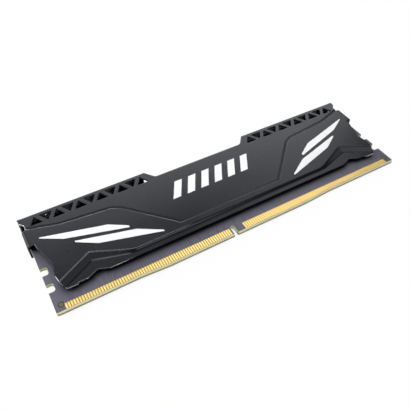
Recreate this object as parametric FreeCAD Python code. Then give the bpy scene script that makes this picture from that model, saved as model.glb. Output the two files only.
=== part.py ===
import FreeCAD, Part
import math
import os

# Unbuffered desktop memory module with a two-piece pressed aluminium heat spreader.
# Built with X along the module from its centre, Y up from the contact edge and Z out of the
# front face from the middle of the board's thickness. On saving, everything moves so that the
# origin is at the centre of the underside of the module lying on its back shell.

V = FreeCAD.Vector

# ---- Board, in millimetres -------------------------------------------------------------------
board_length = 133.35
board_height = 31.25
board_thickness = 1.40
board_corner_radius = 0.8
edge_step = 0.6               # the contact edge's outer stretches are this much shorter
ramp_run = 10.2               # length of the slope between an outer and an inner stretch
left_ramp_start = 26.3        # from the left end
right_ramp_start = 32.25      # from the right end
key_from_left = 61.10
key_width = 1.5
key_depth = 3.85
edge_chamfer_run = 0.55       # chamfer of the contact edge, measured up each face
edge_chamfer_depth = 0.27     # and into the thickness
latch_heights = [10.15, 16.75]  # centre of each latch notch above the contact edge
latch_height = 3.0
latch_depth = 2.2
notch_radius = 0.74

# ---- Contacts --------------------------------------------------------------------------------
contact_pitch = 0.85
contact_width = 0.60
contact_top = 3.15
contact_edge_gap = 0.60       # edge to the pads, just clear of the chamfer
contact_plating = 0.04
contact_end_margin = 3.35     # board end to the centre of the first and last contact
key_left_margin = 1.65        # key centre to the nearest contact on its left
key_right_margin = 4.30       # key centre to the nearest contact on its right

# ---- Memory packages and small components ----------------------------------------------------
package_width = 8.0
package_length = 11.0
package_height = 1.1
package_standoff = 0.3
package_edge_inset = 0.5      # the field of solder balls stays this far inside the package
package_chamfer = 0.12
packages_per_half = 4
package_centre_y = 20.1
package_first_x = 12.6        # module centre to the innermost package
package_end_margin = 12.375   # board end to the outermost package's centre
capacitor_length = 1.0
capacitor_width = 0.5
capacitor_height = 0.5
capacitor_gap = 1.4           # package edge to the row of capacitors beside it
array_length = 2.0
array_width = 1.0
array_height = 0.45
array_spacing = 2.6
array_row_y = 9.6
eeprom_width = 2.0
eeprom_length = 3.0
eeprom_height = 0.6
bulk_length = 1.6
bulk_width = 0.8
bulk_height = 0.8
bulk_offset_x = 4.5
bulk_offset_y = 3.0

# ---- Thermal pads ----------------------------------------------------------------------------
pad_thickness = 0.45
pad_inset = 0.9               # the pad stays this far inside the packages' upper and lower edges

# ---- Pressed shells --------------------------------------------------------------------------
sheet = 0.55
band_rise = 0.25              # wings and band above the main face
shelf_drop = 0.6              # lower shelf below the main face
crease_step = 0.2             # steep step along the upper and the lower edge of the bevels
groove_depth = 0.15           # shallow groove in the main face along the wing line
groove_run = 0.8
crease_shift = 0.2            # inner crease lines lie inside the outer ones
end_gap = 0.35                # board end to the inside of an end flange
bend_radius = 1.1             # outside radius of the end flanges
fold_radius = 0.8             # outside radius of the top folds
fold_rise = 0.44              # a top fold stands this far above the flat's own upper edge
seam_gap = 0.1                # between the edges of the two shells
middle_rise = 4.3             # board's upper edge to the middle of the shell's upper edge
strip_rise = 3.7              # middle of the upper edge to the top of the vented strips
strip_length = 46.3           # shell end to the inner end of a strip's top
strip_slope_run = 2.9
strip_end_height = 1.65       # straight part of the front strip's outer end
strip_end_cut_x = 1.5         # its end is cut back by this much below that
strip_end_cut_y = 3.4
lower_edge_y = 7.15
flange_bottom_y = 26.5
flange_leg_height = 3.5       # each front flange has a long leg at its lower end
flange_top_drop = 5.85        # strip top to the upper end of a front flange
flange_floor_gap = 0.15       # the long leg stops this far above the back shell's outside
flange_play = 0.15            # between the long leg and the back flange beside it
back_flange_top_drop = 0.65   # strip top to the upper end of a back flange
corner_slit = 0.1             # between a back flange and the end of the top fold
front_fold_start = 1.6        # shell end to the outer end of each of the front's top folds
fold_end_gap = 0.3            # a fold stops this far short of the strip's sloped end
tab_from_end = 10.375         # shell end to the centre of each locating notch
notch_width = 2.5
notch_height = 0.65
tab_width = 1.95
tab_height = 0.55
tab_shift = 0.22              # play taken up to one side as assembled

# ---- Vents -----------------------------------------------------------------------------------
vent_count = 11
vent_base = 4.35
vent_height = 3.3
vent_top_margin = 1.3
vent_outer_margin = 5.5       # shell end to the centre of the first vent
vent_inner_margin = 2.25      # centre of the last vent to the strip's inner end
vent_corner_radius = 0.2

# ---- Pressed creases: distance in from the shell's end, and height ---------------------------
wing_line_slope_end = 11.8
wing_line_knee = 29.2
wing_line_knee_end = 32.2
band_start = 47.2
wing_line_drops = [5.65, 8.70, 10.45, 12.05]   # strip top to its end, slope end, knee and knee end
band_top_y = 11.75
band_bottom_y = 9.6
chevron_peak = 16.4
chevron_peak_y = 15.5
chevron_slope = 0.52
chevron_knee = 29.2
chevron_bevel = 3.1           # drop from the chevron's ridge to the shelf below its peak
band_bevel = 0.7
knee_bevel = 1.2

# ---- Worked-out sizes ------------------------------------------------------------------------
board_half = board_length / 2
board_face = board_thickness / 2
shell_half = board_half + end_gap + sheet
middle_top = board_height + middle_rise
strip_top = middle_top + strip_rise
fold_top = strip_top + fold_rise
face_z = board_face + package_height + pad_thickness + sheet
band_z = face_z + band_rise
shelf_z = face_z - shelf_drop
package_pitch = (board_half - package_end_margin - package_first_x) / (packages_per_half - 1)
saved_shift = V(0, -fold_top / 2, band_z)


def from_end(distance):
    """X of a point that lies this far in from the shell's right-hand end."""
    return shell_half - distance


def mirrored(points):
    """The same outline points on the left half, in the reverse order."""
    return [(-point[0],) + tuple(point[1:]) for point in reversed(points)]


def outline_wire(corners, z):
    """Closed wire through (x, y) or (x, y, radius) corners, with a tangent arc at each radius."""
    points = [V(corner[0], corner[1], z) for corner in corners]
    count = len(points)
    arcs = []
    for i in range(count):
        here = points[i]
        back = points[i - 1] - here
        ahead = points[(i + 1) % count] - here
        radius = corners[i][2] if len(corners[i]) > 2 else 0
        if radius == 0:
            arcs.append((here, here, here))
            continue
        half_angle = back.getAngle(ahead) / 2
        reach = min(radius / math.tan(half_angle), 0.45 * min(back.Length, ahead.Length))
        back.normalize()
        ahead.normalize()
        bisector = back + ahead
        bisector.normalize()
        apex_gap = reach / math.cos(half_angle) - reach * math.tan(half_angle)
        arcs.append((here + back * reach, here + bisector * apex_gap, here + ahead * reach))
    edges = []
    for i in range(count):
        start, middle, end = arcs[i]
        if start != end:
            edges.append(Part.Arc(start, middle, end).toShape())
        edges.append(Part.LineSegment(end, arcs[(i + 1) % count][0]).toShape())
    return Part.Wire(edges)


def plate(corners, low, high):
    """Flat plate of the given outline between two heights."""
    return Part.Face(outline_wire(corners, low)).extrude(V(0, 0, high - low))


def block(x, y, z):
    """Box between the (low, high) pairs x, y and z."""
    return Part.makeBox(x[1] - x[0], y[1] - y[0], z[1] - z[0], V(x[0], y[0], z[0]))


def centred_block(x, y, size_x, size_y, height):
    """Component body standing on the board's front face."""
    x_range = (x - size_x / 2, x + size_x / 2)
    y_range = (y - size_y / 2, y + size_y / 2)
    return block(x_range, y_range, (board_face, board_face + height))


def turned(shape):
    """Copy of a front-side shape turned round to the back, half a turn about the Y axis."""
    copy = shape.copy()
    copy.rotate(V(0, 0, 0), V(0, 1, 0), 180)
    return copy


def save(name, shape):
    """Write one node in the module's own frame."""
    placed = shape.copy()
    placed.translate(saved_shift)
    placed.exportStep("parts/" + name + ".step")


def edge_height(x):
    """Height of the stepped contact edge at a distance x from the module's centre."""
    left = (-board_half + left_ramp_start + ramp_run - x) / ramp_run
    right = (x - board_half + right_ramp_start + ramp_run) / ramp_run
    return edge_step * min(max(left, right, 0), 1)


def contact_edge(reach, lift, end_corner=()):
    """Points along the stepped contact edge, lift above it, from -reach to reach."""
    left_ramp = -board_half + left_ramp_start
    right_ramp = board_half - right_ramp_start
    return [
        (-reach, edge_step + lift) + end_corner,
        (left_ramp, edge_step + lift),
        (left_ramp + ramp_run, lift),
        (right_ramp - ramp_run, lift),
        (right_ramp, edge_step + lift),
        (reach, edge_step + lift) + end_corner,
    ]


def chamfered_body():
    """Block larger than the board, with a chamfer on both faces along the contact edge."""
    reach = board_half + 1
    rim = [(reach, board_height + 1), (-reach, board_height + 1)]
    core_z = board_face - edge_chamfer_depth
    root = contact_edge(reach, 0) + rim
    lifted = contact_edge(reach, edge_chamfer_run) + rim
    slope = Part.makeLoft([outline_wire(root, core_z), outline_wire(lifted, board_face)], True, True)
    back_slope = slope.mirror(V(0, 0, 0), V(0, 0, 1))
    return plate(root, -core_z, core_z).fuse([slope, back_slope])


def board():
    """Board with its stepped contact edge, key notch and four latch notches."""
    corner = (board_corner_radius,)
    outline = contact_edge(board_half, 0, corner)
    outline += [(board_half, board_height) + corner, (-board_half, board_height) + corner]
    shape = plate(outline, -board_face, board_face).common(chamfered_body())
    key_x = -board_half + key_from_left
    cuts = [plate([
        (key_x - key_width / 2, -1),
        (key_x + key_width / 2, -1),
        (key_x + key_width / 2, key_depth, notch_radius),
        (key_x - key_width / 2, key_depth, notch_radius),
    ], -board_face - 1, board_face + 1)]
    for height in latch_heights:
        notch = plate([
            (board_half - latch_depth, height - latch_height / 2, notch_radius),
            (board_half + 1, height - latch_height / 2),
            (board_half + 1, height + latch_height / 2),
            (board_half - latch_depth, height + latch_height / 2, notch_radius),
        ], -board_face - 1, board_face + 1)
        cuts.append(notch)
        cuts.append(turned(notch))
    return shape.cut(cuts)


def contact_row(start, end, side):
    """Gold pads between two centres on one face: side is 1 for the front and -1 for the back."""
    count = int(round((end - start) / contact_pitch)) + 1
    pads = []
    for i in range(count):
        x = start + i * contact_pitch
        x_range = (x - contact_width / 2, x + contact_width / 2)
        y_range = (edge_height(x) + contact_edge_gap, contact_top)
        z_range = sorted((side * board_face, side * (board_face + contact_plating)))
        pads.append(block(x_range, y_range, z_range))
    return Part.makeCompound(pads)


def memory_package():
    """Ball-grid memory package standing on the board, centred on the origin in X and Y."""
    body = centred_block(0, 0, package_width, package_length, package_height)
    upper_edges = [edge for edge in body.Edges
                   if min(vertex.Z for vertex in edge.Vertexes) > board_face + package_height - 0.01]
    body = body.makeChamfer(package_chamfer, upper_edges)
    half_x = package_width / 2
    half_y = package_length / 2
    gap = centred_block(0, 0, package_width + 2, package_length + 2, package_standoff)
    balls = block((-half_x + package_edge_inset, half_x - package_edge_inset),
                  (-half_y + package_edge_inset, half_y - package_edge_inset),
                  (board_face - 1, board_face + package_standoff + 1))
    return body.cut(gap.cut(balls))


def package_positions():
    """X of each package on one face, from left to right."""
    right = [package_first_x + i * package_pitch for i in range(packages_per_half)]
    return [-x for x in reversed(right)] + right


def capacitors():
    """Decoupling capacitors in a row above and below each package."""
    row_offset = package_length / 2 + capacitor_gap
    spacing = package_width / 4
    parts = []
    for x in package_positions():
        for column in (-1.5, -0.5, 0.5, 1.5):
            for row in (-row_offset, row_offset):
                parts.append(centred_block(x + column * spacing, package_centre_y + row,
                                           capacitor_length, capacitor_width, capacitor_height))
    return Part.makeCompound(parts)


def resistor_arrays():
    """Data-line resistor arrays between the packages and the contacts."""
    parts = []
    for x in package_positions():
        for column in (-1, 0, 1):
            parts.append(centred_block(x + column * array_spacing, array_row_y,
                                       array_length, array_width, array_height))
    return Part.makeCompound(parts)


def bulk_capacitors():
    """Four larger capacitors round the EEPROM, on the back."""
    parts = []
    for x in (-bulk_offset_x, bulk_offset_x):
        for y in (-bulk_offset_y, bulk_offset_y):
            parts.append(centred_block(x, package_centre_y + y, bulk_length, bulk_width, bulk_height))
    return turned(Part.makeCompound(parts))


def offset_line(points, distance):
    """Open run of points moved sideways by a distance, to the left of its direction."""
    normals = []
    for start, end in zip(points, points[1:]):
        length = math.hypot(end[0] - start[0], end[1] - start[1])
        normals.append(((start[1] - end[1]) / length, (end[0] - start[0]) / length))
    before = [normals[0]] + normals
    after = normals + [normals[-1]]
    moved = []
    for point, first, second in zip(points, before, after):
        scale = distance / (1 + first[0] * second[0] + first[1] * second[1])
        moved.append((point[0] + (first[0] + second[0]) * scale,
                      point[1] + (first[1] + second[1]) * scale))
    return moved


def wing_line():
    """Crease above the raised wings and band, from left to right past both ends."""
    end_drop, slope_drop, knee_drop, knee_end_drop = wing_line_drops
    slope = (slope_drop - end_drop) / (wing_line_slope_end - strip_end_cut_x)
    right = [
        (from_end(band_start), band_top_y),
        (from_end(wing_line_knee_end), strip_top - knee_end_drop),
        (from_end(wing_line_knee), strip_top - knee_drop),
        (from_end(wing_line_slope_end), strip_top - slope_drop),
        (from_end(-2), strip_top - end_drop + slope * (strip_end_cut_x + 2)),
    ]
    return mirrored(right) + right


def chevron_line(peak_drop, knee_drop, band_drop):
    """Crease below the raised wings and band; each drop lowers its peak, its knee and its middle."""
    peak_y = chevron_peak_y - peak_drop
    right = [
        (from_end(chevron_knee) - 1, band_bottom_y - band_drop),
        (from_end(chevron_knee) + 1, band_bottom_y - knee_drop + chevron_slope),
        (from_end(chevron_peak), peak_y),
        (from_end(-2), peak_y - chevron_slope * (chevron_peak + 2)),
    ]
    return mirrored(right) + right


def pressed_form(drop):
    """Solid under the pressed face, from the middle plane up, with its face lowered by drop."""
    inset = crease_shift if drop > 0 else 0
    reach = shell_half + 2
    ceiling = [(-reach, strip_top + 2), (reach, strip_top + 2)]
    upper = offset_line(wing_line(), -inset)
    ridge = offset_line(chevron_line(0, 0, 0), inset)
    foot = offset_line(chevron_line(chevron_bevel, knee_bevel, band_bevel), inset)
    groove_z = face_z - groove_depth
    shelf = block((-reach, reach), (0, ceiling[0][1]), (0, shelf_z - drop))
    face = layers([
        (ceiling, offset_line(upper, -band_rise * 2), 0),
        (ceiling, offset_line(upper, -band_rise * 2), groove_z - drop),
    ])
    groove = layers([
        (ceiling, offset_line(upper, band_z - groove_z), groove_z - drop),
        (ceiling, offset_line(upper, band_z - groove_z + groove_run), face_z - drop),
    ])
    band = layers([
        (offset_line(upper, band_z - shelf_z), foot, shelf_z - drop),
        (offset_line(upper, band_z - shelf_z - crease_step), offset_line(foot, crease_step),
         shelf_z + crease_step - drop),
        (offset_line(upper, crease_step), offset_line(ridge, -crease_step),
         band_z - crease_step - drop),
        (upper, ridge, band_z - drop),
    ])
    return shelf.fuse([face, groove, band])


def layers(levels):
    """Solid between an upper and a lower line at each height, straight from level to level."""
    wires = []
    for upper, lower, z in levels:
        closed = upper + list(reversed(lower)) + [upper[0]]
        wires.append(Part.makePolygon([V(x, y, z) for x, y in closed]))
    return Part.makeLoft(wires, True, True)


def shell_outline(strip_end):
    """Outline of a shell's flat part, without flanges and folds; strip_end is its outer end."""
    right = [
        (from_end(20.4), lower_edge_y, 0.8),
        (from_end(16.5), lower_edge_y + 1.45, 0.3),
        (from_end(13.1), lower_edge_y - 0.15, 0.8),
        (from_end(10.1), lower_edge_y - 0.15),
        (from_end(9.6), lower_edge_y - 0.65),
        (from_end(6.1), lower_edge_y - 0.65, 0.3),
        (from_end(4.8), lower_edge_y + 2.15, 0.8),
        (from_end(4.35), lower_edge_y + 5.05, 1.5),
        (from_end(5.2), lower_edge_y + 9.65, 0.5),
        (from_end(2.6), flange_bottom_y - 1.5, 0.5),
        (from_end(2.4), flange_bottom_y),
        (from_end(bend_radius), flange_bottom_y),
    ]
    right += strip_end
    right += [
        (from_end(strip_length), strip_top, 0.6),
        (from_end(strip_length + strip_slope_run), middle_top, 1.5),
    ]
    return right + mirrored(right)


def bent_edge(origin, outward, run, reach, top, radius, foot):
    """Sheet bent through a right angle down to foot, with its outside at reach, along run."""
    def at(distance, height):
        return origin + outward * distance + V(0, 0, height)

    root = reach - radius
    centre_z = top - radius
    lean = math.sqrt(0.5)
    inner = radius - sheet
    edges = [
        Part.Arc(at(root, top), at(root + radius * lean, centre_z + radius * lean),
                 at(reach, centre_z)).toShape(),
        Part.LineSegment(at(reach, centre_z), at(reach, foot)).toShape(),
        Part.LineSegment(at(reach, foot), at(reach - sheet, foot)).toShape(),
        Part.LineSegment(at(reach - sheet, foot), at(reach - sheet, centre_z)).toShape(),
        Part.Arc(at(reach - sheet, centre_z), at(root + inner * lean, centre_z + inner * lean),
                 at(root, top - sheet)).toShape(),
        Part.LineSegment(at(root, top - sheet), at(root, top)).toShape(),
    ]
    return Part.Face(Part.Wire(edges)).extrude(run)


def top_fold(start, end, height):
    """Fold along the upper edge between two X values, bent down from the main face."""
    return bent_edge(V(start, 0, 0), V(0, 1, 0), V(end - start, 0, 0), height + fold_rise,
                     face_z, fold_radius, seam_gap / 2)


def vents():
    """Triangular vents of the right-hand strip, pointing up and down in turn."""
    pitch = (strip_length - vent_outer_margin - vent_inner_margin) / (vent_count - 1)
    top = strip_top - vent_top_margin
    bottom = top - vent_height
    cuts = []
    for i in range(vent_count):
        x = from_end(vent_outer_margin + i * pitch)
        base = bottom if i % 2 == 0 else top
        tip = top if i % 2 == 0 else bottom
        corners = [
            (x - vent_base / 2, base, vent_corner_radius),
            (x, tip, vent_corner_radius),
            (x + vent_base / 2, base, vent_corner_radius),
        ]
        cuts.append(plate(corners, 0, face_z + 1))
    return cuts


def both_sides(shapes):
    """The shapes and their copies turned round to the left of the module's centre."""
    flipped = [shape.mirror(V(0, 0, 0), V(1, 0, 0)) for shape in shapes]
    return list(shapes) + flipped


def shell(strip_end, flange, fold_start):
    """Pressed shell, facing forwards, with its strip end, right-hand end flange and fold start."""
    skin = plate(shell_outline(strip_end), 0, band_z + 1).common(pressed_form(0))
    skin = skin.cut(pressed_form(sheet))
    strip_fold = (from_end(strip_length - fold_end_gap), from_end(fold_start))
    middle_fold_end = from_end(strip_length + strip_slope_run) - 1
    middle_fold = (-middle_fold_end, middle_fold_end)
    room_z = (0, face_z + 1)
    root = fold_radius - fold_rise
    strip_room = block(strip_fold, (strip_top - root, strip_top + 1), room_z)
    middle_room = block(middle_fold, (middle_top - root, middle_top + 1), room_z)
    skin = skin.cut(both_sides([strip_room] + vents()) + [middle_room])
    bends = both_sides([flange, top_fold(strip_fold[0], strip_fold[1], strip_top)])
    bends.append(top_fold(middle_fold[0], middle_fold[1], middle_top))
    return skin.fuse(bends)


def locating_block(x, width, low, high):
    """Block across a strip's top fold, centred on x, for its locating notch or tab."""
    return block((x - width / 2, x + width / 2), (fold_top - sheet, fold_top), (low, high))


def end_flange(low, high, top, foot):
    """Right-hand end flange between two Y values, bent from the level top down to foot."""
    return bent_edge(V(0, low, 0), V(1, 0, 0), V(0, high - low, 0), shell_half,
                     top, bend_radius, foot)


def front_shell():
    """Front shell: legged end flanges, stepped strip ends and a locating notch in each strip's fold."""
    flange_top = strip_top - flange_top_drop
    leg_top = flange_bottom_y + flange_leg_height
    strip_end = [
        (from_end(bend_radius), flange_top),
        (from_end(strip_end_cut_x), flange_top),
        (from_end(strip_end_cut_x), strip_top - strip_end_cut_y, 0.4),
        (from_end(0), strip_top - strip_end_height, 0.4),
        (from_end(0), strip_top, 0.3),
    ]
    leg = end_flange(flange_bottom_y, leg_top, band_z, flange_floor_gap - band_z)
    flange = leg.fuse(end_flange(leg_top, flange_top, band_z, seam_gap / 2))
    notch_x = from_end(tab_from_end)
    top = seam_gap / 2 + notch_height
    notches = [locating_block(x, notch_width, 0, top) for x in (-notch_x, notch_x)]
    return shell(strip_end, flange, front_fold_start).cut(notches).removeSplitter()


def back_shell():
    """Back shell: flanges up to the seam, and a tab on each strip's fold for the front's notch."""
    flange_low = flange_bottom_y + flange_leg_height + flange_play
    wing_top = strip_top - wing_line_drops[0]
    flange_top = strip_top - back_flange_top_drop
    strip_end = [
        (from_end(bend_radius), flange_top + corner_slit),
        (from_end(0), flange_top + corner_slit),
        (from_end(0), strip_top, 0.3),
    ]
    seam = seam_gap / 2
    flange = end_flange(flange_low, wing_top, band_z, seam)
    flange = flange.fuse(end_flange(wing_top, flange_top, face_z, seam))
    tab_x = from_end(tab_from_end)
    tabs = [locating_block(x - tab_shift, tab_width, seam - tab_height, seam) for x in (-tab_x, tab_x)]
    return turned(shell(strip_end, flange, 0).fuse(tabs).removeSplitter())


def thermal_pad():
    """Soft pad over the packages of one face, pressed to the inside of its shell."""
    reach = package_positions()[-1] + package_width / 2
    half_height = package_length / 2 - pad_inset
    top_of_packages = board_face + package_height
    room = block((-reach, reach), (package_centre_y - half_height, package_centre_y + half_height),
                 (top_of_packages, band_z))
    return room.common(pressed_form(sheet)).removeSplitter()


def main():
    """Build every node and write it to parts/."""
    os.makedirs("parts", exist_ok=True)
    save("board", board())
    key_x = -board_half + key_from_left
    groups = {
        "left": (-board_half + contact_end_margin, key_x - key_left_margin),
        "right": (key_x + key_right_margin, board_half - contact_end_margin),
    }
    for group, (start, end) in groups.items():
        save("contacts_front_" + group, contact_row(start, end, 1))
        save("contacts_back_" + group, contact_row(start, end, -1))
    for number, x in enumerate(package_positions(), 1):
        package = memory_package()
        package.translate(V(x, package_centre_y, 0))
        save("memory_front_" + str(number), package)
        save("memory_back_" + str(number), turned(package))
    save("capacitors_front", capacitors())
    save("capacitors_back", turned(capacitors()))
    save("resistor_arrays_front", resistor_arrays())
    save("resistor_arrays_back", turned(resistor_arrays()))
    save("eeprom", turned(centred_block(0, package_centre_y, eeprom_width, eeprom_length, eeprom_height)))
    save("bulk_capacitors", bulk_capacitors())
    save("thermal_pad_front", thermal_pad())
    save("thermal_pad_back", turned(thermal_pad()))
    save("shell_front", front_shell())
    save("shell_back", back_shell())


main()
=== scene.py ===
import math
import bpy
import numpy as np
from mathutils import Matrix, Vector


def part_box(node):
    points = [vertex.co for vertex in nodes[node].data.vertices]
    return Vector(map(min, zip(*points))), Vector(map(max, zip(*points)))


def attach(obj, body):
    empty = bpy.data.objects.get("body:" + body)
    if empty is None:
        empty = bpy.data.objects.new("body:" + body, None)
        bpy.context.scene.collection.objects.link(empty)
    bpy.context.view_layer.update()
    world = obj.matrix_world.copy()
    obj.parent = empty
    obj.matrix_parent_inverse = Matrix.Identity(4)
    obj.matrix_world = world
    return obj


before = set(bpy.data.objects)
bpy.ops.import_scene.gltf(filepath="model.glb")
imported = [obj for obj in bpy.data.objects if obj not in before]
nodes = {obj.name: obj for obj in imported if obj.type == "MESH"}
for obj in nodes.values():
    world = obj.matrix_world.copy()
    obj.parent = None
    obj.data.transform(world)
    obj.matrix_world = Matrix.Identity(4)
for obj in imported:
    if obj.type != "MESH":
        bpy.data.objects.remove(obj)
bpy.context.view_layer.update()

# ---- Circuit board ---------------------------------------------------------------------------
# Glass-epoxy laminate of several copper layers, routed to shape, under a dark violet solder
# mask. Fine tracks show through the mask, and bare laminate on the cut edges and between pads.


def feed(tree, socket, value):
    """Joins another node's output to a socket, or sets the socket's own number or colour."""
    if isinstance(value, bpy.types.NodeSocket):
        tree.links.new(value, socket)
    else:
        socket.default_value = value


def feed_named(tree, node, **feeds):
    """Feeds a node's sockets by name, with _ for each space in the name."""
    for name, value in feeds.items():
        feed(tree, node.inputs[name.replace("_", " ")], value)


def shader_node(tree, kind, settings=None, **feeds):
    """New shader node with its settings made and its named sockets fed."""
    made = tree.nodes.new(kind)
    for name, value in (settings or {}).items():
        setattr(made, name, value)
    feed_named(tree, made, **feeds)
    return made


def maths(tree, operation, *values):
    """Output of one step of arithmetic."""
    made = shader_node(tree, "ShaderNodeMath", {"operation": operation})
    for socket, value in zip(made.inputs, values):
        feed(tree, socket, value)
    return made.outputs[0]


def plus(tree, first, second):
    """Two values added together."""
    return maths(tree, "ADD", first, second)


def product(tree, first, *others):
    """Two or more values multiplied together."""
    for value in others:
        first = maths(tree, "MULTIPLY", first, value)
    return first


def rising(tree, base, amount, mask):
    """A number that rises from its base by an amount where the mask is 1."""
    return plus(tree, base, product(tree, mask, amount))


def either(tree, first, second):
    """The larger of two masks or values."""
    return maths(tree, "MAXIMUM", first, second)


def rest_of(tree, mask):
    """Where a mask isn't: 1 less the mask."""
    return maths(tree, "SUBTRACT", 1.0, mask)


def distance_from(tree, value, centre):
    """How far a value is from a centre, on either side."""
    return maths(tree, "ABSOLUTE", maths(tree, "SUBTRACT", value, centre))


def crow_flight(tree, across, up):
    """Straight distance made by a step across and a step up: the root of their squares' sum."""
    squares = plus(tree, maths(tree, "POWER", across, 2.0), maths(tree, "POWER", up, 2.0))
    return maths(tree, "SQRT", squares)


def fade(tree, value, zero_at, one_at):
    """0 at one value and 1 at another, with a smooth step between them: 3t^2 - 2t^3."""
    settings = {"interpolation_type": "SMOOTHSTEP"}
    made = shader_node(tree, "ShaderNodeMapRange", settings, Value=value,
                       From_Min=zero_at, From_Max=one_at)
    return made.outputs["Result"]


def within(tree, distance, limit, softness):
    """1 inside a limit and 0 outside it, fading over the softness on each side."""
    return fade(tree, distance, limit + softness, limit - softness)


def tinted(tree, amount, first, second):
    """Colour between two colours; amount runs from 0 for the first to 1 for the second."""
    made = shader_node(tree, "ShaderNodeMix", {"data_type": "RGBA"})
    for name, value in (("Factor_Float", amount), ("A_Color", first), ("B_Color", second)):
        socket = next(s for s in made.inputs if s.identifier == name)
        feed(tree, socket, (*value, 1.0) if isinstance(value, tuple) else value)
    return next(s for s in made.outputs if s.identifier == "Result_Color")


def in_millimetres(tree):
    """Object coordinates in millimetres, as a vector."""
    place = shader_node(tree, "ShaderNodeTexCoord").outputs["Object"]
    scaled = shader_node(tree, "ShaderNodeVectorMath", {"operation": "SCALE"}, Scale=1000.0)
    feed(tree, scaled.inputs[0], place)
    return scaled.outputs[0]


def split(tree, vector):
    """X, Y and Z of a vector."""
    return shader_node(tree, "ShaderNodeSeparateXYZ", Vector=vector).outputs


def face_direction(tree):
    """X, Y and Z of the way a face looks, in the object's own axes."""
    return split(tree, shader_node(tree, "ShaderNodeTexCoord").outputs["Normal"])


def effect_group(name, inputs, outputs):
    """Empty shader group with float inputs (name: value) and outputs (name: socket kind)."""
    tree = bpy.data.node_groups.new(name, "ShaderNodeTree")
    for label, value in inputs.items():
        socket = tree.interface.new_socket(label, in_out="INPUT", socket_type="NodeSocketFloat")
        socket.default_value = value
    for label, kind in outputs.items():
        tree.interface.new_socket(label, in_out="OUTPUT", socket_type=kind)
    given = tree.nodes.new("NodeGroupInput").outputs
    wanted = tree.nodes.new("NodeGroupOutput").inputs
    return tree, given, wanted


def placed_group(tree, group, **feeds):
    """Outputs of an effect group placed in a material with that material's own values."""
    return shader_node(tree, "ShaderNodeGroup", {"node_tree": group}, **feeds).outputs


def finish_sheet(name, **constants):
    """New material: its node tree and its Principled shader with the constants set on it."""
    material = bpy.data.materials.new(name)
    material.use_nodes = True
    tree = material.node_tree
    shader = tree.nodes["Principled BSDF"]
    feed_named(tree, shader, **constants)
    return material, tree, shader


def raised(tree, strength, depth, height, rounded=None):
    """Normal of a fine relief, over a rounded normal if one is given; depth is in metres."""
    made = shader_node(tree, "ShaderNodeBump", Strength=strength, Distance=depth, Height=height)
    if rounded is not None:
        feed(tree, made.inputs["Normal"], rounded)
    return made.outputs["Normal"]


def coat_nodes(material, *names):
    """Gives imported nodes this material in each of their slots."""
    for name in names:
        for entry in nodes[name].material_slots:
            entry.material = material


# Rounds off sharp edges in the shading, and says where an edge is worn or, on the shell, where a
# highlight is painted. The mask begins where the rounded surface turns from the flat one: the pair
# below is that turn's cosine, (nothing, all).
edge_mask_turn = (0.99, 0.94)

worn_and_highlit_edges, given, wanted = effect_group(
    "worn_and_highlit_edges",
    {"Radius": 0.00015, "Patchiness": 0.4},
    {"Normal": "NodeSocketVector", "Wear And Highlight": "NodeSocketFloat"})
rounded = shader_node(worn_and_highlit_edges, "ShaderNodeBevel", {"samples": 6},
                      Radius=given["Radius"]).outputs["Normal"]
true_normal = shader_node(worn_and_highlit_edges, "ShaderNodeNewGeometry").outputs["True Normal"]
turn = shader_node(worn_and_highlit_edges, "ShaderNodeVectorMath", {"operation": "DOT_PRODUCT"})
feed(worn_and_highlit_edges, turn.inputs[0], rounded)
feed(worn_and_highlit_edges, turn.inputs[1], true_normal)
edge = fade(worn_and_highlit_edges, turn.outputs["Value"], *edge_mask_turn)
patches = shader_node(worn_and_highlit_edges, "ShaderNodeTexNoise", Vector=in_millimetres(worn_and_highlit_edges),
                      Scale=1.1, Detail=3.0)
patch = fade(worn_and_highlit_edges, patches.outputs["Fac"], 0.35, 0.65)
kept = rest_of(worn_and_highlit_edges, product(worn_and_highlit_edges, given["Patchiness"], patch))
feed(worn_and_highlit_edges, wanted["Normal"], rounded)
feed(worn_and_highlit_edges, wanted["Wear And Highlight"], product(worn_and_highlit_edges, edge, kept))

# Fine grain of a surface: even speckle of one size, and slow drifts of tone across the part.
fine_grain, given, wanted = effect_group(
    "fine_grain",
    {"Grain Size": 0.12, "Drift Size": 9.0},
    {"Height": "NodeSocketFloat", "Tone": "NodeSocketFloat"})
place = in_millimetres(fine_grain)
speckle = shader_node(fine_grain, "ShaderNodeTexNoise", Vector=place, Detail=2.0,
                      Scale=maths(fine_grain, "DIVIDE", 1.0, given["Grain Size"]))
drift = shader_node(fine_grain, "ShaderNodeTexNoise", Vector=place, Detail=3.0,
                    Scale=maths(fine_grain, "DIVIDE", 1.0, given["Drift Size"]))
feed(fine_grain, wanted["Height"], speckle.outputs["Fac"])
feed(fine_grain, wanted["Tone"], fade(fine_grain, drift.outputs["Fac"], 0.3, 0.7))

# How open a surface is to the air: 0 deep in a gap or under an overhang, 1 out in the open.
shelter, given, wanted = effect_group(
    "shelter",
    {"Reach": 0.0025, "Closed": 0.25, "Open": 0.9},
    {"Openness": "NodeSocketFloat"})
nearness = shader_node(shelter, "ShaderNodeAmbientOcclusion", {"samples": 8},
                       Distance=given["Reach"])
feed(shelter, wanted["Openness"],
     fade(shelter, nearness.outputs["AO"], given["Closed"], given["Open"]))

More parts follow.
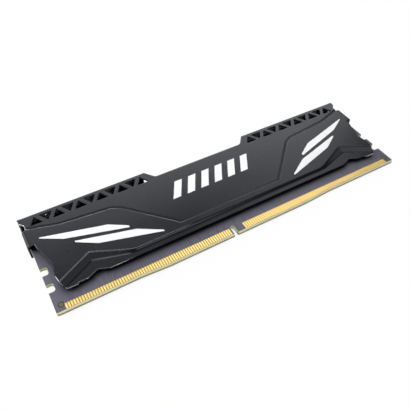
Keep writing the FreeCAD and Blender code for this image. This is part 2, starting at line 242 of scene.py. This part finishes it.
# Places on the board in millimetres, counted along from its left end and up from its contact
# edge. A face is told by the way it looks, (nothing at, all at): up or down, or to the front.
board_low, board_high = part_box("board")
board_left = board_low[0] * 1000
board_foot = board_low[1] * 1000
contact_pitch = 0.85
first_contact = 3.35
pad_upper_end = 3.3
pad_groups = ((3.05, 59.75), (65.1, 130.3))
track_half_width = 0.105
track_share = 0.74
lean_starts = 4.9
lean_swing = 5.2
lowest_via = 4.1
via_spread = 2.6
via_ring_radius = 0.275
via_hole_radius = 0.11
mark_from_middle = 64.6
mark_height = 3.3
mark_radius = 1.03
spot_radius = 0.62
contact_edge_top = 1.2
layer_pitch = 0.23
flat_face = (0.93, 0.97)
chamfer_face = (0.4, 0.6)
front_face = (-0.6, -0.9)

mask_violet = (0.068, 0.066, 0.098)
track_violet = (0.120, 0.116, 0.158)
hole_black = (0.02, 0.02, 0.025)
painted_overhang_black = (0.002, 0.002, 0.003)
mark_brown = (0.03, 0.025, 0.02)
dull_brass = (0.12, 0.105, 0.045)
laminate_pale = (0.66, 0.68, 0.50)
laminate_green = (0.78, 0.80, 0.50)
laminate_olive = (0.36, 0.34, 0.19)
laminate_dark = (0.24, 0.23, 0.12)
laminate_tan = (0.36, 0.26, 0.17)
laminate_brown = (0.20, 0.09, 0.016)

board_finish, sheet, shader = finish_sheet("board_laminate", IOR=1.5)
place = in_millimetres(sheet)
x, y, z = split(sheet, place)
along = maths(sheet, "SUBTRACT", x, board_left)
up = maths(sheet, "SUBTRACT", y, board_foot)
facing = face_direction(sheet)
tilt = maths(sheet, "ABSOLUTE", facing["Z"])
grain = placed_group(sheet, fine_grain, Grain_Size=0.16, Drift_Size=14.0)
edges = placed_group(sheet, worn_and_highlit_edges, Radius=0.00016, Patchiness=0.2)

# Tracks rise from most of the pads and lean over in bundles higher up, to one side and the
# other by turns: the lean is the climb times the sine of the way along. On each pad's line
# stands a via, a plated ring round a small hole.
climb = either(sheet, maths(sheet, "SUBTRACT", up, lean_starts), 0.0)
lean = product(sheet, climb, maths(sheet, "SINE", maths(sheet, "DIVIDE", along, lean_swing)))
from_first = plus(sheet, maths(sheet, "SUBTRACT", along, first_contact), lean)
steps = maths(sheet, "DIVIDE", from_first, contact_pitch)
number = maths(sheet, "ROUND", steps)
off_centre = product(sheet, distance_from(sheet, steps, number), contact_pitch)
chance = shader_node(sheet, "ShaderNodeTexWhiteNoise", {"noise_dimensions": "1D"},
                     W=number).outputs["Value"]
has_track = maths(sheet, "LESS_THAN", chance, track_share)
track = product(sheet, within(sheet, off_centre, track_half_width, 0.025), has_track)
via_y = plus(sheet, lowest_via, product(sheet, chance, via_spread))
via_reach = crow_flight(sheet, off_centre, distance_from(sheet, up, via_y))
via_hole = within(sheet, via_reach, via_hole_radius, 0.02)
copper = either(sheet, track, within(sheet, via_reach, via_ring_radius, 0.025))

# The mask is left open round the pads, where the brown laminate shows between them.
mask_colour = tinted(sheet, product(sheet, grain["Tone"], 0.35), mask_violet, track_violet)
mask_colour = tinted(sheet, copper, mask_colour, track_violet)
mask_colour = tinted(sheet, via_hole, mask_colour, hole_black)
group_spans = [product(sheet, maths(sheet, "GREATER_THAN", along, start),
                       maths(sheet, "LESS_THAN", along, end)) for start, end in pad_groups]
above_pads = fade(sheet, up, pad_upper_end - 0.05, pad_upper_end + 0.05)
covered = either(sheet, above_pads, rest_of(sheet, either(sheet, *group_spans)))
front_colour = tinted(sheet, covered, laminate_brown, mask_colour)
# Painted shade: the board goes black where the shell's overhang and narrow gaps shelter it.
painted_overhang_shade = placed_group(sheet, shelter, Reach=0.0025, Closed=0.4, Open=0.9)
front_colour = tinted(sheet, painted_overhang_shade["Openness"], painted_overhang_black, front_colour)

# Round reference marks near both lower corners: a ring free of mask round a plated spot.
from_mark = maths(sheet, "SUBTRACT", maths(sheet, "ABSOLUTE", x), mark_from_middle)
mark_reach = crow_flight(sheet, from_mark, maths(sheet, "SUBTRACT", up, mark_height))
front_colour = tinted(sheet, within(sheet, mark_reach, mark_radius, 0.05), front_colour, mark_brown)
front_colour = tinted(sheet, within(sheet, mark_reach, spot_radius, 0.04), front_colour, dull_brass)

# Cut edges show the layers of glass cloth. They are tan along the contact edge, olive beside it,
# and greener higher up and on the chamfers.
layers = maths(sheet, "SINE", product(sheet, z, 2 * math.pi / layer_pitch))
fibres = shader_node(sheet, "ShaderNodeTexNoise", Vector=place, Scale=6.0, Detail=4.0)
layer_tone = rising(sheet, fibres.outputs["Fac"], 0.22, layers)
cut_colour = tinted(sheet, fade(sheet, layer_tone, 0.2, 0.9), laminate_dark, laminate_olive)
above_edge = fade(sheet, up, contact_edge_top - 0.2, contact_edge_top + 0.2)
below_top = fade(sheet, up, contact_edge_top + 0.2, contact_edge_top - 0.2)
edge_side = product(sheet, fade(sheet, facing["Y"], *front_face), below_top, 0.8)
cut_colour = tinted(sheet, product(sheet, above_edge, 0.6), cut_colour, laminate_green)
cut_colour = tinted(sheet, edge_side, cut_colour, laminate_tan)
cut_colour = tinted(sheet, fade(sheet, tilt, *chamfer_face), cut_colour, laminate_green)
flat_side = fade(sheet, tilt, *flat_face)
surface = tinted(sheet, flat_side, cut_colour, front_colour)
surface = tinted(sheet, product(sheet, edges["Wear And Highlight"], 0.8), surface, laminate_pale)

rough = rising(sheet, rising(sheet, 0.72, -0.30, flat_side), 0.08, grain["Tone"])
relief = rising(sheet, product(sheet, copper, 0.6), 0.4, grain["Height"])
relief = rising(sheet, relief, -0.6, via_hole)
feed_named(sheet, shader, Base_Color=surface, Roughness=rough,
           Normal=raised(sheet, 0.5, 0.00003, relief, edges["Normal"]))
coat_nodes(board_finish, "board")

# ---- Contacts --------------------------------------------------------------------------------
# Copper pads along the contact edge, nickelled and plated with hard gold. They are flat and
# bright, with fine wiping marks along their length where a socket's springs have run.

gold = (0.90, 0.68, 0.27)
gold_shade = (0.85, 0.62, 0.22)
wiping_per_mm = (22.0, 0.9, 1.0)

gold_finish, sheet, shader = finish_sheet("contact_gold", Metallic=1.0)
grain = placed_group(sheet, fine_grain, Grain_Size=0.08, Drift_Size=5.0)
edges = placed_group(sheet, worn_and_highlit_edges, Radius=0.00004, Patchiness=0.2)
stretch = shader_node(sheet, "ShaderNodeVectorMath", {"operation": "MULTIPLY"})
feed(sheet, stretch.inputs[0], in_millimetres(sheet))
feed(sheet, stretch.inputs[1], wiping_per_mm)
wiping = shader_node(sheet, "ShaderNodeTexNoise", Vector=stretch.outputs[0], Scale=1.0, Detail=3.0)
wiped = fade(sheet, wiping.outputs["Fac"], 0.52, 0.72)
colour = tinted(sheet, product(sheet, grain["Tone"], 0.5), gold, gold_shade)
relief = rising(sheet, grain["Height"], -0.5, wiped)
feed_named(sheet, shader, Base_Color=colour, Roughness=rising(sheet, 0.43, 0.08, wiped),
           Normal=raised(sheet, 0.2, 0.000005, relief, edges["Normal"]))
coat_nodes(gold_finish, "contacts_front_left", "contacts_front_right",
           "contacts_back_left", "contacts_back_right")

# ---- Memory packages and the EEPROM ----------------------------------------------------------
# Black epoxy mouldings with a matt, spark-eroded skin. The memory packages stand on fields of
# solder balls and the EEPROM on its terminals, which show as a greyer band along the foot.

moulding_black = (0.018, 0.018, 0.019)
moulding_grey = (0.034, 0.034, 0.035)
moulding_worn = (0.09, 0.09, 0.09)
solder_grey = (0.52, 0.52, 0.50)
ball_height = 0.29
board_middle = (board_high[2] + board_low[2]) / 2 * 1000
board_face = (board_high[2] - board_low[2]) / 2 * 1000

moulding_finish, sheet, shader = finish_sheet("package_moulding", IOR=1.55)
z = split(sheet, in_millimetres(sheet))["Z"]
grain = placed_group(sheet, fine_grain, Grain_Size=0.05, Drift_Size=4.0)
edges = placed_group(sheet, worn_and_highlit_edges, Radius=0.00008, Patchiness=0.6)
above_board = maths(sheet, "SUBTRACT", distance_from(sheet, z, board_middle), board_face)
ball_zone = within(sheet, above_board, ball_height, 0.01)
colour = tinted(sheet, grain["Height"], moulding_black, moulding_grey)
colour = tinted(sheet, product(sheet, edges["Wear And Highlight"], 0.4), colour, moulding_worn)
colour = tinted(sheet, product(sheet, ball_zone, 0.5), colour, solder_grey)
feed_named(sheet, shader, Base_Color=colour, Roughness=rising(sheet, 0.55, 0.12, grain["Tone"]),
           Normal=raised(sheet, 0.6, 0.00001, grain["Height"], edges["Normal"]))
coat_nodes(moulding_finish, "eeprom", *(name for name in nodes if name.startswith("memory_")))

# ---- Capacitors and resistor arrays ----------------------------------------------------------
# Capacitors are blocks of thin brown ceramic layers, and resistor arrays are printed on ceramic
# under a black glaze. Both have tinned ends and are soldered down flat beside the packages.

ceramic_brown = (0.21, 0.13, 0.075)
resistor_black = (0.02, 0.021, 0.022)
tin = (0.62, 0.62, 0.60)
tinned_face = (0.4, 0.6)
shade = 0.7

for finish_name, body_colour, owners in (
        ("capacitor_ceramic", ceramic_brown,
         ("capacitors_front", "capacitors_back", "bulk_capacitors")),
        ("resistor_body", resistor_black,
         ("resistor_arrays_front", "resistor_arrays_back"))):
    small_finish, sheet, shader = finish_sheet(finish_name)
    grain = placed_group(sheet, fine_grain, Grain_Size=0.07, Drift_Size=1.6)
    edges = placed_group(sheet, worn_and_highlit_edges, Radius=0.00006, Patchiness=0.3)
    end_face = fade(sheet, maths(sheet, "ABSOLUTE", face_direction(sheet)["X"]), *tinned_face)
    tinned = either(sheet, end_face, product(sheet, edges["Wear And Highlight"], 0.5))
    tone = tinted(sheet, grain["Tone"], body_colour, tuple(shade * part for part in body_colour))
    feed_named(sheet, shader, Base_Color=tinted(sheet, tinned, tone, tin), Metallic=tinned,
               Roughness=rising(sheet, 0.38, 0.14, grain["Height"]),
               Normal=raised(sheet, 0.4, 0.00001, grain["Height"], edges["Normal"]))
    coat_nodes(small_finish, *owners)

# ---- Thermal pads ----------------------------------------------------------------------------
# Soft grey silicone filled with ceramic powder, cut from sheet and squeezed between the
# packages and the shells to carry their heat.

pad_grey = (0.30, 0.32, 0.35)
pad_pale = (0.40, 0.42, 0.45)
pad_shade = (0.24, 0.26, 0.29)

pad_finish, sheet, shader = finish_sheet("thermal_pad")
grain = placed_group(sheet, fine_grain, Grain_Size=0.09, Drift_Size=3.0)
edges = placed_group(sheet, worn_and_highlit_edges, Radius=0.00012, Patchiness=0.5)
colour = tinted(sheet, grain["Height"], pad_grey, pad_pale)
colour = tinted(sheet, product(sheet, grain["Tone"], 0.4), colour, pad_shade)
feed_named(sheet, shader, Base_Color=colour, Roughness=rising(sheet, 0.7, 0.15, grain["Tone"]),
           Normal=raised(sheet, 0.8, 0.00003, grain["Height"], edges["Normal"]))
coat_nodes(pad_finish, "thermal_pad_front", "thermal_pad_back")

# ---- Pressed shells --------------------------------------------------------------------------
# Aluminium sheet, pressed and folded, blasted and anodised black. Its hollows are painted in
# shade, and highlights are painted as bare metal along creases and cut edges, mostly on the left.

anodised_black = (0.0062, 0.0066, 0.0082)
anodised_grey = (0.0100, 0.0108, 0.0124)
painted_hollow_black = (0.0015, 0.0015, 0.002)
highlight_aluminium = (0.50, 0.51, 0.53)
glint_aluminium = (0.80, 0.80, 0.79)

shell_finish, sheet, shader = finish_sheet(
    "shell_anodised", IOR=1.5, Specular_IOR_Level=0.30, Specular_Tint=(0.85, 0.90, 1.0, 1.0))
x, y, _ = split(sheet, in_millimetres(sheet))
tilt = maths(sheet, "ABSOLUTE", face_direction(sheet)["Z"])
grain = placed_group(sheet, fine_grain, Grain_Size=0.09, Drift_Size=16.0)
edges = placed_group(sheet, worn_and_highlit_edges, Radius=0.0004, Patchiness=0.2)
tone = product(sheet, plus(sheet, grain["Height"], grain["Tone"]), 0.5)
colour = tinted(sheet, tone, anodised_black, anodised_grey)

# Shade is painted inside the vents and gaps. A wide reach finds the holes, and a short one their
# corners.
hole = placed_group(sheet, shelter, Reach=0.004, Closed=0.5, Open=0.85)["Openness"]
corner = placed_group(sheet, shelter, Reach=0.0008, Closed=0.6, Open=0.96)["Openness"]
free_of_painted_shade = product(sheet, hole, rising(sheet, 0.35, 0.65, corner))

# In the masks below each pair of numbers says where one fades, nothing at the first and all at
# the second. They are millimetres, from the module's middle unless the name says otherwise, or
# for a face the cosine of its slope.

# The band's sloping upper crease lies in shade between the wings.
band_crease_y = -8.1
crease_reach = (1.1, 0.8)
band_ends = (21.5, 19.5)
sloping_face = (0.97, 0.85)
shaded = product(sheet, fade(sheet, distance_from(sheet, y, band_crease_y), *crease_reach),
                 fade(sheet, maths(sheet, "ABSOLUTE", x), *band_ends),
                 fade(sheet, tilt, *sloping_face))
free_of_painted_shade = product(sheet, free_of_painted_shade, rising(sheet, 1.0, -0.85, shaded))

# Highlights are painted as bare metal on the left part below the vents: on its lower creases most,
# its cut edges only along the foot, the inside of its wing hardly, and the middle of its end rim
# not at all. The painted highlights end sooner along the foot.
pressed_face = (0.3, 0.6)
foot_edges_y = (-10.5, -11.5)
lower_half_y = (4.0, -1.0)
below_vents_y = (13.6, 13.0)
wing_inside_x = (-38.0, -35.0)
wing_inside_y = (-9.4, -8.9)
highlights_end_x = -22.0
highlights_end_fade = (6.0, 0.0)
sooner_y = (-10.5, -10.8)
sooner_by = -22.0
end_rim_x = (-59.5, -60.5)
end_rim_foot = (-8.5, -7.5)
end_rim_top = (5.0, 4.0)
creased = either(sheet, fade(sheet, tilt, *pressed_face), fade(sheet, y, *foot_edges_y))
height_share = rising(sheet, 0.3, 0.7, fade(sheet, y, *lower_half_y))
wing_inside = product(sheet, fade(sheet, x, *wing_inside_x), fade(sheet, y, *wing_inside_y))
highlights_end = rising(sheet, highlights_end_x, sooner_by, fade(sheet, y, *sooner_y))
left_part = fade(sheet, maths(sheet, "SUBTRACT", x, highlights_end), *highlights_end_fade)
end_rim = product(sheet, fade(sheet, x, *end_rim_x), fade(sheet, y, *end_rim_foot),
                  fade(sheet, y, *end_rim_top))
where_highlights_painted = product(sheet, height_share, fade(sheet, y, *below_vents_y),
                  rising(sheet, 1.0, -0.8, wing_inside), creased, left_part,
                  rest_of(sheet, end_rim))

# Highlights are painted on the left flange's top edge, and faintly on the right chevron's ridge.
flange_x = (-64.5, -66.0)
flange_y = (10.0, 11.0)
ridge_x = (40.0, 46.0)
ridge_y = (-2.0, -3.0)
flange_top = product(sheet, fade(sheet, x, *flange_x), fade(sheet, y, *flange_y))
right_ridge = product(sheet, fade(sheet, x, *ridge_x), fade(sheet, y, *ridge_y), creased, 0.12)
where_highlights_painted = either(sheet, either(sheet, where_highlights_painted, flange_top), right_ridge)

# On the left chevron's lower crease the highlight is painted only inwards of its peak. Its outer
# foot has none: it runs a few millimetres under a line, y = slope x + start, that lies above the
# ridge.
line_slope = 0.52
line_start = 22.27
foot_x = (-50.5, -52.0)
foot_y = (-13.2, -12.4)
foot_top = (1.5, 2.0)
foot_bottom = (4.6, 4.1)
line_y = plus(sheet, product(sheet, x, line_slope), line_start)
under_line = maths(sheet, "SUBTRACT", line_y, y)
outer_foot = product(sheet, fade(sheet, x, *foot_x), fade(sheet, y, *foot_y),
                     fade(sheet, under_line, *foot_top), fade(sheet, under_line, *foot_bottom))
painted_highlight = product(sheet, edges["Wear And Highlight"], where_highlights_painted, rest_of(sheet, outer_foot), hole)

# A bright glint is painted on the cut face at the right tip, as matt bare metal.
upright_face = (0.6, 0.3)
tip_x = (57.0, 59.0)
tip_y = (-12.4, -12.9)
painted_glint = product(sheet, fade(sheet, tilt, *upright_face), fade(sheet, x, *tip_x),
                  fade(sheet, y, *tip_y))

# Painted shade turns the shell black, and there it is a metal of hardly any colour, which throws
# back almost nothing. Painted highlights and the glint are bare aluminium over it.
painted_hollow_metal = product(sheet, rest_of(sheet, free_of_painted_shade), rest_of(sheet, painted_glint))
colour = tinted(sheet, free_of_painted_shade, painted_hollow_black, colour)
colour = tinted(sheet, painted_highlight, colour, highlight_aluminium)
colour = tinted(sheet, painted_glint, colour, glint_aluminium)
feed_named(sheet, shader, Base_Color=colour, Metallic=either(sheet, painted_highlight, painted_hollow_metal),
           Roughness=rising(sheet, 0.24, 0.05, grain["Tone"]),
           Normal=raised(sheet, 0.3, 0.00001, grain["Height"], edges["Normal"]))
coat_nodes(shell_finish, "shell_front", "shell_back")

# ---- Printed stripes -------------------------------------------------------------------------
# White ink, screen-printed on the coating: two slanted bars on each wing of the front shell,
# and a plain row of short bars in the middle.

ink_white = (0.86, 0.87, 0.88)
ink_grey = (0.80, 0.81, 0.83)
ink_thickness = 0.012
ink_samples = 90
wing_rise = 0.25
wing_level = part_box("shell_front")[1][2] * 1000
face_level = wing_level - wing_rise


def closed_tube(name, rings, turned_round):
    """Mesh through rings of points, an array (ring, point, xyz), with a flat cap at each end.

    Each wall face joins two neighbours on one ring to the same two on the next ring.
    """
    count, size = rings.shape[:2]
    index = np.arange(count * size).reshape(count, size)
    following = np.roll(index, -1, axis=1)
    walls = np.stack([index[:-1], following[:-1], following[1:], index[1:]], axis=2)
    caps = [index[0][::-1].tolist(), index[-1].tolist()]
    faces = walls.reshape(-1, 4).tolist() + caps
    if turned_round:
        faces = [face[::-1] for face in faces]
    mesh = bpy.data.meshes.new(name)
    mesh.from_pydata(rings.reshape(-1, 3).tolist(), [], faces)
    piece = bpy.data.objects.new(name, mesh)
    bpy.context.scene.collection.objects.link(piece)
    return piece


def printed_bar(name, lower, upper, level, side):
    """Flat film of ink on the shell, made of closed rings at even steps along X.

    At a distance x the film reaches from the lower to the upper outline, both broken lines
    through (x, y) corners in millimetres, and a ring stands at every corner. Each ring goes up
    one side of the film, across its top, down and back. Side is -1 for the left wing, where x
    counts from the board's left end, and 1 for the right, where it counts from the right end.
    """
    lower, upper = np.array(lower), np.array(upper)
    even_steps = np.linspace(lower[0, 0], lower[-1, 0], ink_samples)
    x = np.unique(np.concatenate([even_steps, lower[:, 0], upper[:, 0]]))
    low_y = np.interp(x, *lower.T)
    high_y = np.interp(x, *upper.T)
    across = np.array([0.0, 0.0, 1.0, 1.0])
    heights = level + np.array([0.0, 1.0, 1.0, 0.0]) * ink_thickness
    ring_x = side * (-board_left - x)[:, None] + np.zeros(4)
    ring_y = low_y[:, None] + (high_y - low_y)[:, None] * across + board_foot
    ring_z = np.zeros(len(x))[:, None] + heights
    points = np.stack([ring_x, ring_y, ring_z], axis=2) / 1000
    return closed_tube(name, points, side > 0)


ink_finish, sheet, shader = finish_sheet("white_ink")
grain = placed_group(sheet, fine_grain, Grain_Size=0.11, Drift_Size=6.0)
colour = tinted(sheet, product(sheet, grain["Tone"], 0.5), ink_white, ink_grey)
feed_named(sheet, shader, Base_Color=colour, Roughness=rising(sheet, 0.38, 0.12, grain["Height"]),
           Normal=raised(sheet, 0.4, 0.00001, grain["Height"]))

# Lower and upper outlines of the wings' bars, in millimetres along from the board's end and up
# from its foot.
upper_bar = ([(3.55, 28.1), (10.4, 24.15), (30.7, 18.25)],
             [(3.55, 28.5), (24.8, 22.8), (30.7, 19.1)])
lower_bar = ([(13.1, 21.1), (19.5, 17.1), (40.0, 11.25)],
             [(13.1, 21.65), (32.4, 16.5), (40.0, 11.8)])
prints = []
for side, hand in ((-1, "left"), (1, "right")):
    prints.append(printed_bar("print_upper_" + hand, *upper_bar, wing_level, side))
    prints.append(printed_bar("print_lower_" + hand, *lower_bar, wing_level, side))

# The middle row counts along from the board's left end, and each bar leans to the right.
bar_count = 6
first_bar = 49.0
bar_pitch = 5.6
bar_width = 3.0
bar_slant = 4.2
bar_foot = 22.4
bar_top = 29.8
for i in range(bar_count):
    start = first_bar + i * bar_pitch
    end = start + bar_width
    lower = [(start, bar_foot), (end, bar_foot), (end + bar_slant, bar_top)]
    upper = [(start, bar_foot), (start + bar_slant, bar_top), (end + bar_slant, bar_top)]
    prints.append(printed_bar("print_middle_%d" % (i + 1), lower, upper, face_level, -1))
for piece in prints:
    piece.data.materials.append(ink_finish)
    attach(piece, "root")

# ---- Studio ----------------------------------------------------------------------------------
# Pale paper floor, soft lamps behind the module, over it, to its left and in front, and white
# air that dims overhead.

floor_reach = 3.0
paper_white = (0.92, 0.92, 0.92, 1)
white = (1.0, 1.0, 1.0)
black = (0.0, 0.0, 0.0)
glow_share = 0.985
air_strength = 0.12
dimming_height = (0.10, 0.55)


def mixed_shader(tree, amount, first, second, surface):
    """Feeds a surface with a blend of two shaders; amount is the share of the second."""
    both = shader_node(tree, "ShaderNodeMixShader")
    for socket, value in zip(both.inputs, (amount, first, second)):
        feed(tree, socket, value)
    feed(tree, surface, both.outputs[0])


corners = [(-floor_reach, -floor_reach, 0), (floor_reach, -floor_reach, 0),
           (floor_reach, floor_reach, 0), (-floor_reach, floor_reach, 0)]
floor_mesh = bpy.data.meshes.new("floor")
floor_mesh.from_pydata(corners, [], [(0, 1, 2, 3)])
floor = bpy.data.objects.new("floor", floor_mesh)
bpy.context.scene.collection.objects.link(floor)

# The paper shows white to the eye and in reflections, with a painted shadow that goes black where
# it touches the module.
floor_finish, sheet, shader = finish_sheet("floor_paper", Roughness=0.6, Base_Color=paper_white)
paths = shader_node(sheet, "ShaderNodeLightPath").outputs
mirrored = either(sheet, paths["Is Glossy Ray"], paths["Is Transmission Ray"])
seen = either(sheet, paths["Is Camera Ray"], mirrored)
nearness = shader_node(sheet, "ShaderNodeAmbientOcclusion", {"samples": 12}, Distance=0.004)
clear_of_painted_shadow = fade(sheet, nearness.outputs["AO"], 0.0, 0.5)
glow = shader_node(sheet, "ShaderNodeEmission", Strength=1.0,
                   Color=tinted(sheet, clear_of_painted_shadow, black, white))
mixed_shader(sheet, product(sheet, seen, glow_share), shader.outputs[0], glow.outputs[0],
             sheet.nodes["Material Output"].inputs["Surface"])
floor_mesh.materials.append(floor_finish)

# The air is brightest near the horizon and dims towards the ceiling.
air = bpy.data.worlds.new("air")
bpy.context.scene.world = air
air.use_nodes = True
sheet = air.node_tree
direction = shader_node(sheet, "ShaderNodeTexCoord").outputs["Generated"]
dimmed = fade(sheet, split(sheet, direction)["Z"], *dimming_height)
light_air = sheet.nodes["Background"]
feed_named(sheet, light_air, Color=tinted(sheet, dimmed, white, black), Strength=air_strength)
white_air = shader_node(sheet, "ShaderNodeBackground", Color=(*white, 1), Strength=1.0)
paths = shader_node(sheet, "ShaderNodeLightPath").outputs
mixed_shader(sheet, either(sheet, paths["Is Camera Ray"], paths["Is Transmission Ray"]),
             light_air.outputs[0], white_air.outputs[0],
             sheet.nodes["World Output"].inputs["Surface"])


def soft_lamp(name, bearing, climb, distance, size, power, roll=0):
    """Rectangular area lamp facing the module, in metres, watts and degrees.

    Bearing turns from +X towards +Y, climb is the angle above the floor, and roll lifts the
    lamp's end on the side where the bearing grows.
    """
    lamp = bpy.data.lights.new(name, "AREA")
    lamp.shape = "RECTANGLE"
    lamp.size, lamp.size_y = size
    lamp.energy = power
    holder = bpy.data.objects.new(name, lamp)
    bpy.context.scene.collection.objects.link(holder)
    turn, rise = math.radians(bearing), math.radians(climb)
    holder.location = (distance * math.cos(rise) * math.cos(turn),
                       distance * math.cos(rise) * math.sin(turn), distance * math.sin(rise))
    holder.rotation_euler = (math.pi / 2 - rise, 0, turn + math.pi / 2)
    holder.rotation_euler.rotate_axis("Z", math.radians(roll))


lamp_distance = 0.40
soft_lamp("lamp_behind", 70, 37, lamp_distance, (0.50, 0.16), 0.74, roll=12)
soft_lamp("lamp_behind_low", 85, 24, lamp_distance, (0.50, 0.08), 0.65)
soft_lamp("lamp_left", 157, 30, lamp_distance, (0.30, 0.30), 1.5)
soft_lamp("lamp_above", 18, 54, lamp_distance, (0.25, 0.20), 0.25)
soft_lamp("lamp_overhead", 90, 84, lamp_distance, (0.40, 0.40), 0.33)
soft_lamp("lamp_front", 270, 12, lamp_distance, (0.30, 0.12), 0.45)

lens = bpy.data.cameras.new("camera")
lens.sensor_width = 36.0
lens.lens = 39.58
lens.clip_start, lens.clip_end = 0.005, 20.0
camera = bpy.data.objects.new("camera", lens)
bpy.context.scene.collection.objects.link(camera)
camera.location = (-0.06246, -0.09289, 0.12258)
camera.rotation_euler = [math.radians(turn) for turn in (41.284, -0.944, -30.047)]
bpy.context.scene.camera = camera
bpy.context.scene.view_settings.view_transform = "Standard"
